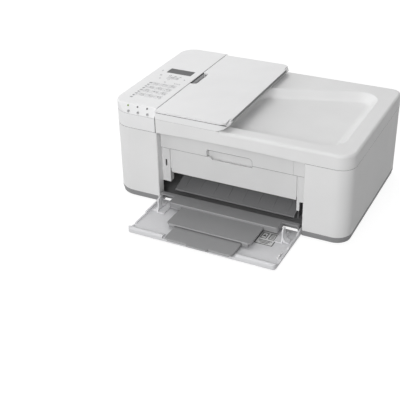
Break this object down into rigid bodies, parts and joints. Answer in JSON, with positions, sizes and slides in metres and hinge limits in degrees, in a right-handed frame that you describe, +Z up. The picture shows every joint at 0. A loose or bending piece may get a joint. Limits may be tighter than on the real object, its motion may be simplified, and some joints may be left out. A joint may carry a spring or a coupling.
{
  "type": "inkjet printer",
  "caption": "White all-in-one inkjet printer with a scanner lid, sheet-fed document tray, control panel on the left, fold-down front paper tray and stepped output tray.",
  "frame": {"origin": "centre of the footprint, paper tray out, on the surface under the feet", "axes": "+X to the printer's right seen from the front, +Y to the back, +Z up"},
  "size_m": [0.443, 0.4174, 0.1818],
  "materials": {
    "white_shell": "fine satin moulding",
    "light_shell": "fine satin moulding",
    "grey_base": "satin moulding",
    "tray_grey": "satin moulding",
    "black_plastic": "satin moulding",
    "cartridge": "satin moulding",
    "rubber": "matt rubber",
    "steel": "plated sheet",
    "roller": "ground rubber on a steel shaft",
    "nylon": "natural nylon",
    "clear_film": "printed film",
    "glass": "clear float glass",
    "display": "smoked window",
    "lamp": "tinted lens",
    "board": "solder mask",
    "foam": "white film on foam",
    "key_grey": "satin key caps"
  },
  "bodies": {
    "printer_body": {"base_tray": "grey_base", "rubber_feet": "rubber", "main_case": "white_shell", "power_inlet": "black_plastic", "signal_sockets": "black_plastic", "front_fascia": "light_shell", "chassis_plates": "steel", "carriage_rail": "steel", "carriage_belt": "rubber", "carriage_motor": "steel", "encoder_strip": "clear_film", "print_platen": "black_plastic", "output_chute": "black_plastic", "service_station": "grey_base", "feed_motor": "steel", "main_board": "board", "power_supply": "black_plastic", "scanner_frame": "grey_base", "platen_glass": "glass", "scan_rod": "steel", "control_panel": "white_shell", "lcd_window": "display", "status_lamps": "lamp"},
    "front_tray": {"front_tray": "light_shell"},
    "output_tray": {"output_tray": "tray_grey"},
    "output_extension": {"output_extension": "tray_grey"},
    "guide_right": {"paper_guide_right": "light_shell"},
    "guide_left": {"paper_guide_left": "light_shell"},
    "output_cover": {"paper_output_cover": "white_shell"},
    "carriage": {"carriage": "black_plastic", "black_cartridge": "cartridge", "colour_cartridge": "cartridge"},
    "feed_roller": {"feed_roller": "roller"},
    "eject_roller": {"eject_roller": "roller"},
    "idler_gear": {"idler_gear": "nylon"},
    "motor_pinion": {"motor_pinion": "nylon"},
    "pickup_roller": {"pickup_roller": "rubber"},
    "scan_head": {"scan_head": "black_plastic"},
    "lid": {"document_cover": "white_shell", "lid_pad": "foam", "feeder_housing": "white_shell"},
    "feeder_roller": {"feeder_roller": "rubber"},
    "document_tray": {"document_tray": "white_shell"},
    "key_star": {"key_star": "key_grey"},
    "key_0": {"key_0": "key_grey"},
    "key_hash": {"key_hash": "key_grey"},
    "key_7": {"key_7": "key_grey"},
    "key_8": {"key_8": "key_grey"},
    "key_9": {"key_9": "key_grey"},
    "key_4": {"key_4": "key_grey"},
    "key_5": {"key_5": "key_grey"},
    "key_6": {"key_6": "key_grey"},
    "key_1": {"key_1": "key_grey"},
    "key_2": {"key_2": "key_grey"},
    "key_3": {"key_3": "key_grey"},
    "key_ok": {"key_ok": "key_grey"},
    "button_power": {"button_power": "key_grey"},
    "button_stop": {"button_stop": "key_grey"},
    "button_start": {"button_start": "key_grey"}
  },
  "joints": [
    {"name": "front_tray_fold", "type": "hinge", "parent": "printer_body", "child": "front_tray", "pos_m": [0.0075, -0.08025, 0.01], "axis": [-1, 0, 0], "range_deg": [0, 90]},
    {"name": "output_tray_lift", "type": "hinge", "parent": "front_tray", "child": "output_tray", "pos_m": [0.0075, -0.08025, 0.01], "axis": [1, 0, 0], "range_deg": [-30, 0]},
    {"name": "extension_slide", "type": "slide", "parent": "output_tray", "child": "output_extension", "axis": [0, 1, 0], "range_m": [0, 0.04]},
    {"name": "guide_right_slide", "type": "slide", "parent": "front_tray", "child": "guide_right", "axis": [-1, 0, 0], "range_m": [0, 0.036]},
    {"name": "guide_left_slide", "type": "slide", "parent": "front_tray", "child": "guide_left", "axis": [1, 0, 0], "range_m": [0, 0.036]},
    {"name": "output_cover_open", "type": "hinge", "parent": "printer_body", "child": "output_cover", "pos_m": [0.0075, -0.06465, 0.0615], "axis": [-1, 0, 0], "range_deg": [-85, 0]},
    {"name": "carriage_slide", "type": "slide", "parent": "printer_body", "child": "carriage", "axis": [1, 0, 0], "range_m": [-0.28, 0]},
    {"name": "feed_spin", "type": "hinge", "parent": "printer_body", "child": "feed_roller", "pos_m": [0, 0.03575, 0.036], "axis": [1, 0, 0], "continuous": true},
    {"name": "eject_spin", "type": "hinge", "parent": "printer_body", "child": "eject_roller", "pos_m": [0, -0.00825, 0.036], "axis": [1, 0, 0], "continuous": true},
    {"name": "idler_spin", "type": "hinge", "parent": "printer_body", "child": "idler_gear", "pos_m": [-0.171, 0.01375, 0.036], "axis": [1, 0, 0], "continuous": true},
    {"name": "pinion_spin", "type": "hinge", "parent": "printer_body", "child": "motor_pinion", "pos_m": [-0.171, 0.04989, 0.02186], "axis": [1, 0, 0], "continuous": true},
    {"name": "pickup_spin", "type": "hinge", "parent": "printer_body", "child": "pickup_roller", "pos_m": [0.0075, 0.16075, 0.032], "axis": [1, 0, 0], "continuous": true},
    {"name": "scan_slide", "type": "slide", "parent": "printer_body", "child": "scan_head", "axis": [1, 0, 0], "range_m": [0, 0.287]},
    {"name": "lid_open", "type": "hinge", "parent": "printer_body", "child": "lid", "pos_m": [0, 0.20525, 0.146], "axis": [-1, 0, 0], "range_deg": [0, 75]},
    {"name": "feeder_spin", "type": "hinge", "parent": "lid", "child": "feeder_roller", "pos_m": [-0.0873, 0.05375, 0.1726], "axis": [0, 1, 0], "continuous": true},
    {"name": "document_tray_open", "type": "hinge", "parent": "lid", "child": "document_tray", "pos_m": [0.0042, 0.05375, 0.1795], "axis": [0, 1, 0], "range_deg": [0, 150]},
    {"name": "key_star_press", "type": "slide", "parent": "printer_body", "child": "key_star", "axis": [0, 0, -1], "range_m": [0, 0.0008], "stiffness_N_per_m": 400},
    {"name": "key_0_press", "type": "slide", "parent": "printer_body", "child": "key_0", "axis": [0, 0, -1], "range_m": [0, 0.0008], "stiffness_N_per_m": 400},
    {"name": "key_hash_press", "type": "slide", "parent": "printer_body", "child": "key_hash", "axis": [0, 0, -1], "range_m": [0, 0.0008], "stiffness_N_per_m": 400},
    {"name": "key_7_press", "type": "slide", "parent": "printer_body", "child": "key_7", "axis": [0, 0, -1], "range_m": [0, 0.0008], "stiffness_N_per_m": 400},
    {"name": "key_8_press", "type": "slide", "parent": "printer_body", "child": "key_8", "axis": [0, 0, -1], "range_m": [0, 0.0008], "stiffness_N_per_m": 400},
    {"name": "key_9_press", "type": "slide", "parent": "printer_body", "child": "key_9", "axis": [0, 0, -1], "range_m": [0, 0.0008], "stiffness_N_per_m": 400},
    {"name": "key_4_press", "type": "slide", "parent": "printer_body", "child": "key_4", "axis": [0, 0, -1], "range_m": [0, 0.0008], "stiffness_N_per_m": 400},
    {"name": "key_5_press", "type": "slide", "parent": "printer_body", "child": "key_5", "axis": [0, 0, -1], "range_m": [0, 0.0008], "stiffness_N_per_m": 400},
    {"name": "key_6_press", "type": "slide", "parent": "printer_body", "child": "key_6", "axis": [0, 0, -1], "range_m": [0, 0.0008], "stiffness_N_per_m": 400},
    {"name": "key_1_press", "type": "slide", "parent": "printer_body", "child": "key_1", "axis": [0, 0, -1], "range_m": [0, 0.0008], "stiffness_N_per_m": 400},
    {"name": "key_2_press", "type": "slide", "parent": "printer_body", "child": "key_2", "axis": [0, 0, -1], "range_m": [0, 0.0008], "stiffness_N_per_m": 400},
    {"name": "key_3_press", "type": "slide", "parent": "printer_body", "child": "key_3", "axis": [0, 0, -1], "range_m": [0, 0.0008], "stiffness_N_per_m": 400},
    {"name": "key_ok_press", "type": "slide", "parent": "printer_body", "child": "key_ok", "axis": [0, 0, -1], "range_m": [0, 0.0008], "stiffness_N_per_m": 400},
    {"name": "button_power_press", "type": "slide", "parent": "printer_body", "child": "button_power", "axis": [0, 0.8321, -0.5547], "range_m": [0, 0.0008], "stiffness_N_per_m": 400},
    {"name": "button_stop_press", "type": "slide", "parent": "printer_body", "child": "button_stop", "axis": [0, 0.8321, -0.5547], "range_m": [0, 0.0008], "stiffness_N_per_m": 400},
    {"name": "button_start_press", "type": "slide", "parent": "printer_body", "child": "button_start", "axis": [0, 0.8321, -0.5547], "range_m": [0, 0.0008], "stiffness_N_per_m": 400}
  ],
  "couplings": [
    {"joint": "guide_left_slide", "follows": "guide_right_slide", "ratio": 1},
    {"joint": "eject_spin", "follows": "feed_spin", "ratio": 1},
    {"joint": "idler_spin", "follows": "feed_spin", "ratio": -1.75},
    {"joint": "pinion_spin", "follows": "feed_spin", "ratio": -2.3333},
    {"joint": "pickup_spin", "follows": "feed_spin", "ratio": 0.4}
  ]
}
